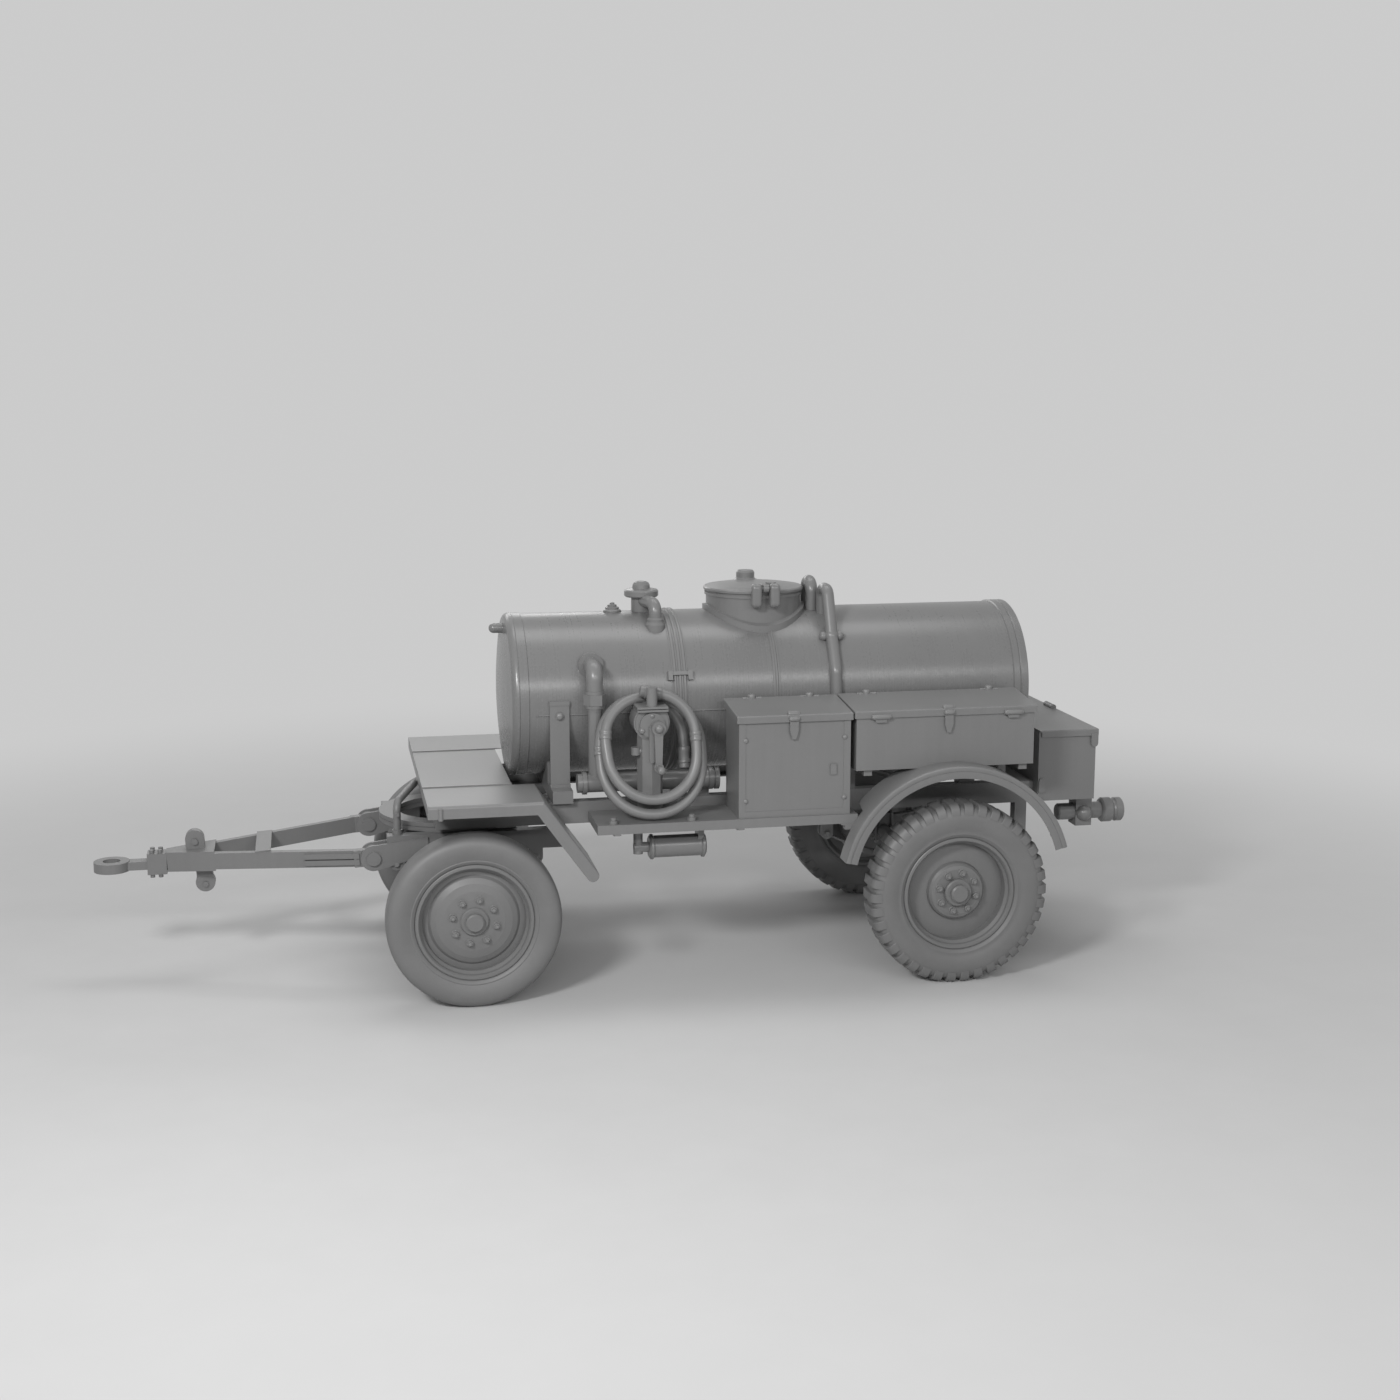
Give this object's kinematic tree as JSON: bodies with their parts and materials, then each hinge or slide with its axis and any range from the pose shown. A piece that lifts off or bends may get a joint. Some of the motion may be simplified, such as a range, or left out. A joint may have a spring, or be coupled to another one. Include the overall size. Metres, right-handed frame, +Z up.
{
  "type": "fuel bowser trailer",
  "caption": "Drawbar trailer with a round fuel tank, manhole, side lockers, hand pump with coiled hose, flat front wings and a turntable front axle.",
  "frame": {"origin": "centre of the trailer's overall length and width, on the ground", "axes": "+X forward to the towing eye, +Y to the left side, +Z up"},
  "size_m": [5.062, 1.764, 1.886],
  "materials": {
    "body_paint": "satin grey paint",
    "running_gear_paint": "satin grey paint",
    "fitting_paint": "satin grey paint",
    "tyre": "matt grey rubber",
    "hose": "matt grey rubber"
  },
  "bodies": {
    "chassis": {"breather_bends": "fitting_paint", "cross_members": "running_gear_paint", "delivery_hose": "hose", "frame_rail_l": "running_gear_paint", "frame_rail_r": "running_gear_paint", "front_deck": "body_paint", "front_wing_l": "body_paint", "front_wing_r": "body_paint", "hand_pump": "fitting_paint", "locker_l": "body_paint", "locker_r": "body_paint", "long_box_l": "body_paint", "long_box_r": "body_paint", "manhole_neck": "body_paint", "rear_axle": "running_gear_paint", "rear_box": "body_paint", "rear_outlet": "fitting_paint", "rear_spring_l": "running_gear_paint", "rear_spring_r": "running_gear_paint", "rear_wing_l": "body_paint", "rear_wing_r": "body_paint", "running_board_l": "body_paint", "running_board_r": "body_paint", "settling_canister": "fitting_paint", "suction_line": "fitting_paint", "tank": "body_paint", "tank_cradles": "running_gear_paint", "tank_hoops": "body_paint", "tank_top_fittings": "fitting_paint", "turntable_upper": "running_gear_paint"},
    "bogie": {"bogie_rail_l": "running_gear_paint", "bogie_rail_r": "running_gear_paint", "bogie_cross": "running_gear_paint", "front_axle": "running_gear_paint", "front_spring_l": "running_gear_paint", "front_spring_r": "running_gear_paint"},
    "drawbar": {"drawbar_arm_l": "running_gear_paint", "drawbar_arm_r": "running_gear_paint", "drawbar_head": "running_gear_paint"},
    "front_wheel_l": {"tyre_front_l": "tyre", "wheel_front_l": "body_paint"},
    "front_wheel_r": {"tyre_front_r": "tyre", "wheel_front_r": "body_paint"},
    "rear_wheel_l": {"tyre_rear_l": "tyre", "wheel_rear_l": "body_paint"},
    "rear_wheel_r": {"tyre_rear_r": "tyre", "wheel_rear_r": "body_paint"},
    "manhole_lid": {"manhole_lid": "body_paint"},
    "locker_lid_l": {"locker_lid_l": "body_paint"},
    "locker_lid_r": {"locker_lid_r": "body_paint"},
    "long_box_lid_l": {"long_box_lid_l": "body_paint"},
    "long_box_lid_r": {"long_box_lid_r": "body_paint"},
    "rear_box_lid": {"rear_box_lid": "body_paint"},
    "pump_crank": {"pump_crank": "fitting_paint"}
  },
  "joints": [
    {"name": "bogie_steer", "type": "hinge", "parent": "chassis", "child": "bogie", "pos_m": [0.852, 0, 0.7535], "axis": [0, 0, 1], "range_deg": [-18, 18]},
    {"name": "drawbar_pitch", "type": "hinge", "parent": "bogie", "child": "drawbar", "pos_m": [1.229, 0, 0.632], "axis": [0, -1, 0], "range_deg": [-23, 60]},
    {"name": "front_wheel_l_spin", "type": "hinge", "parent": "bogie", "child": "front_wheel_l", "pos_m": [0.792, 0.691, 0.404], "axis": [0, 1, 0], "continuous": true},
    {"name": "front_wheel_r_spin", "type": "hinge", "parent": "bogie", "child": "front_wheel_r", "pos_m": [0.792, -0.691, 0.404], "axis": [0, 1, 0], "continuous": true},
    {"name": "rear_wheel_l_spin", "type": "hinge", "parent": "chassis", "child": "rear_wheel_l", "pos_m": [-1.493, 0.778, 0.438], "axis": [0, 1, 0], "continuous": true},
    {"name": "rear_wheel_r_spin", "type": "hinge", "parent": "chassis", "child": "rear_wheel_r", "pos_m": [-1.493, -0.778, 0.438], "axis": [0, 1, 0], "continuous": true},
    {"name": "manhole_lid_open", "type": "hinge", "parent": "chassis", "child": "manhole_lid", "pos_m": [-0.675, 0.274, 1.846], "axis": [-1, 0, 0], "range_deg": [0, 110]},
    {"name": "locker_lid_l_open", "type": "hinge", "parent": "chassis", "child": "locker_lid_l", "pos_m": [-0.705, 0.466, 1.342], "axis": [1, 0, 0], "range_deg": [0, 95]},
    {"name": "locker_lid_r_open", "type": "hinge", "parent": "chassis", "child": "locker_lid_r", "pos_m": [-0.705, -0.466, 1.342], "axis": [-1, 0, 0], "range_deg": [0, 95]},
    {"name": "long_box_lid_l_open", "type": "hinge", "parent": "chassis", "child": "long_box_lid_l", "pos_m": [-1.4375, 0.466, 1.345], "axis": [1, 0, 0], "range_deg": [0, 95]},
    {"name": "long_box_lid_r_open", "type": "hinge", "parent": "chassis", "child": "long_box_lid_r", "pos_m": [-1.4375, -0.466, 1.345], "axis": [-1, 0, 0], "range_deg": [0, 95]},
    {"name": "rear_box_lid_open", "type": "hinge", "parent": "chassis", "child": "rear_box_lid", "pos_m": [-1.999, 0, 1.138], "axis": [0, 1, 0], "range_deg": [0, 80]},
    {"name": "pump_crank_turn", "type": "hinge", "parent": "chassis", "child": "pump_crank", "pos_m": [-0.07, 0.7, 1.266], "axis": [0, 1, 0], "continuous": true}
  ]
}
